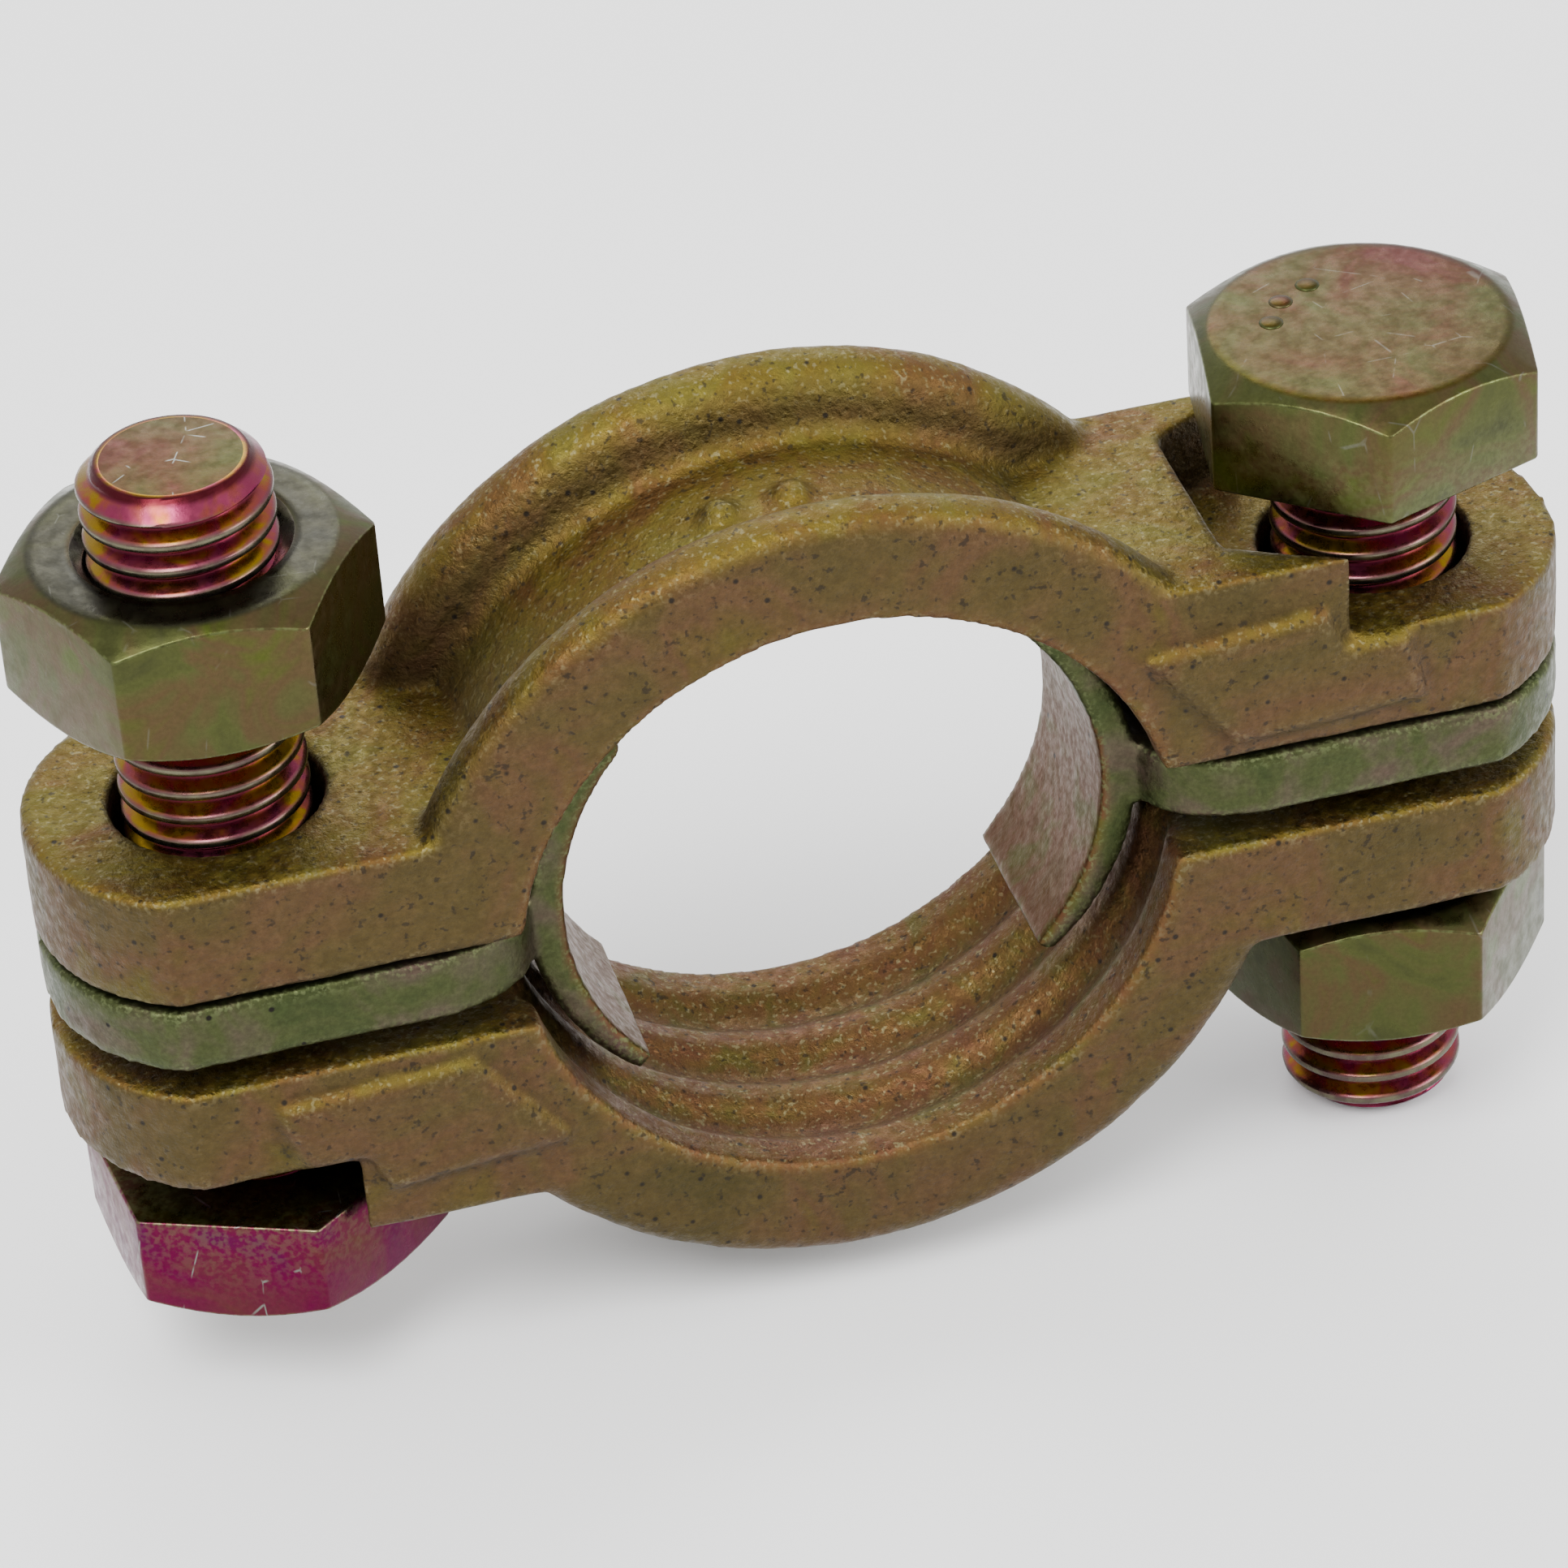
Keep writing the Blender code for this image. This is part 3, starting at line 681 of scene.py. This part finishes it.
def nut(node):
    """A hex nut at its CAD node's place, threaded and countersunk at both ends."""
    low, high = (Vector(corner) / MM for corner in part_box(node))
    height = high.z - low.z

    def limit(z):
        return NUT_MOUTH_R - min(z, height - z) * NUT_MOUTH_SLOPE

    bm = marked_bmesh()
    thread_wall(bm, 0.0, height, limit, THREAD_MAJOR + NUT_PLAY[0], THREAD_MINOR + NUT_PLAY[1],
                low.z, max)
    spin = Matrix.Rotation(HEX_TURN[node], 2)
    outline = [spin @ p for p in hexagon_outline()]
    start = math.atan2(outline[0].y, outline[0].x) % (2 * math.pi) / (2 * math.pi)
    rims = []
    for face_height, sign in ((height, 1), (0.0, -1)):
        mouth = open_ring(bm, face_height)
        offset = round(start * len(mouth))
        rings = [mouth[offset:] + mouth[:offset]]
        rings.append(level_ring(bm, circle_like(outline, NUT_MOUTH_R + NUT_LIP), face_height))
        rings += hexagon_rings(bm, outline, face_height, sign)
        for first, second in zip(rings, rings[1:]):
            join_rings(bm, first, second)
        rims.append(rings[-1])
    join_rings(bm, *rims)
    bmesh.ops.recalc_face_normals(bm, faces=bm.faces)
    finish_steel(node, bm, low.z)


def finish_steel(node, bm, height):
    """Make the object, move its mesh to its place, mark its edges, shade it and tell the frame."""
    obj = new_object(node + "_steel", bm, [MATERIALS[node], MATERIALS["thread"]])
    mesh = obj.data
    side = -1 if node.startswith("left") else 1
    mesh.transform(Matrix.Translation(Vector((side * BOLT_X, 0.0, height)) * MM))
    mesh.update()
    mark_edges(mesh)
    mesh.shade_smooth()
    mesh.set_sharp_from_angle(angle=math.radians(48))
    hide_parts(node)
    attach(obj, node)


def mark_edges(mesh):
    """The edge mask for rubbed metal and a painted highlight: up to 1 on the vertices of a hexagon's convex
    edges, by their sharpness.
    """
    bm = bmesh.new()
    bm.from_mesh(mesh)
    values = []
    for vert in bm.verts:
        sharpest = 0.0
        for edge in vert.link_edges:
            if len(edge.link_faces) == 2 and edge.is_convex:
                if all(face.material_index == STEEL_SLOT for face in edge.link_faces):
                    sharpest = max(sharpest, edge.calc_face_angle(0.0))
        values.append(unit((sharpest - 0.25) * 1.6))
    bm.free()
    set_attribute(mesh, "worn_and_lit_edges", values)


# ---------------------------------------------------------------- floor, light and camera

def area_light(name, place, diameter, watts):
    """A round soft light that faces the origin."""
    light = bpy.data.lights.new(name, 'AREA')
    light.shape = 'DISK'
    light.size = diameter * MM
    light.energy = watts
    obj = bpy.data.objects.new(name, light)
    bpy.context.scene.collection.objects.link(obj)
    obj.location = Vector(place) * MM
    obj.rotation_euler = (-obj.location).to_track_quat('-Z', 'Y').to_euler()


def set_camera():
    """The view from the front left, from above, with a slight roll."""
    ahead = math.cos(CAMERA_ELEVATION)
    back = Vector((math.sin(CAMERA_AZIMUTH) * ahead, -math.cos(CAMERA_AZIMUTH) * ahead,
                   math.sin(CAMERA_ELEVATION)))
    level = (-back).cross(Vector((0, 0, 1))).normalized()
    upright = level.cross(-back)
    right = level * math.cos(CAMERA_ROLL) + upright * math.sin(CAMERA_ROLL)
    up = upright * math.cos(CAMERA_ROLL) - level * math.sin(CAMERA_ROLL)
    camera = bpy.data.cameras.new("camera")
    camera.lens = FOCAL_LENGTH
    camera.sensor_width = SENSOR_WIDTH
    camera.clip_start = 0.01
    obj = bpy.data.objects.new("camera", camera)
    bpy.context.scene.collection.objects.link(obj)
    place = (right * CAMERA_SHIFT[0] + up * CAMERA_SHIFT[1] + back * CAMERA_DISTANCE) * MM
    rotation = Matrix((right, up, back)).transposed().to_4x4()
    obj.matrix_world = Matrix.Translation(place) @ rotation
    bpy.context.scene.camera = obj


def set_world():
    world = bpy.data.worlds.new("studio")
    world.use_nodes = True
    background = world.node_tree.nodes["Background"]
    background.inputs["Color"].default_value = (1.0, 1.0, 1.0, 1.0)
    background.inputs["Strength"].default_value = WORLD_STRENGTH
    bpy.context.scene.world = world


def make_floor():
    bm = bmesh.new()
    bmesh.ops.create_grid(bm, x_segments=8, y_segments=8, size=FLOOR_REACH * MM)
    floor = new_object("floor", bm, [floor_material()])
    floor.location = (0.0, 0.0, cad_box[0][2] - FLOOR_GAP * MM)


# ---------------------------------------------------------------- build

MATERIALS = {
    "thread": thread_material(),
    "left_bolt": plated_steel("head_magenta_zinc", MAGENTA, PINK_TOP, 1.0),
    "right_bolt": plated_steel("head_olive_zinc", OLIVE, PINK_TOP, 0.3),
    "left_nut": plated_steel("nut_olive_zinc", OLIVE, OLIVE_TOP, 0.2),
    "right_nut": plated_steel("nut_brown_zinc", OLIVE, OLIVE_TOP, 0.2),
    "casting": casting_material(),
    "saddle_casting": saddle_material(),
}

cast_piece("upper_half", MATERIALS["casting"], -ARC_SHIFT, HALF_BORE_REACH)
cast_piece("lower_half", MATERIALS["casting"], ARC_SHIFT, HALF_BORE_REACH)
cast_piece("left_saddle", MATERIALS["saddle_casting"], 0.0, TONGUE_REACH)
cast_piece("right_saddle", MATERIALS["saddle_casting"], 0.0, TONGUE_REACH)
bolt("left_bolt", False)
bolt("right_bolt", True)
nut("left_nut")
nut("right_nut")

make_floor()
set_world()
for light_name, light_place, light_diameter, light_watts in LIGHTS:
    area_light(light_name, light_place, light_diameter, light_watts)
set_camera()
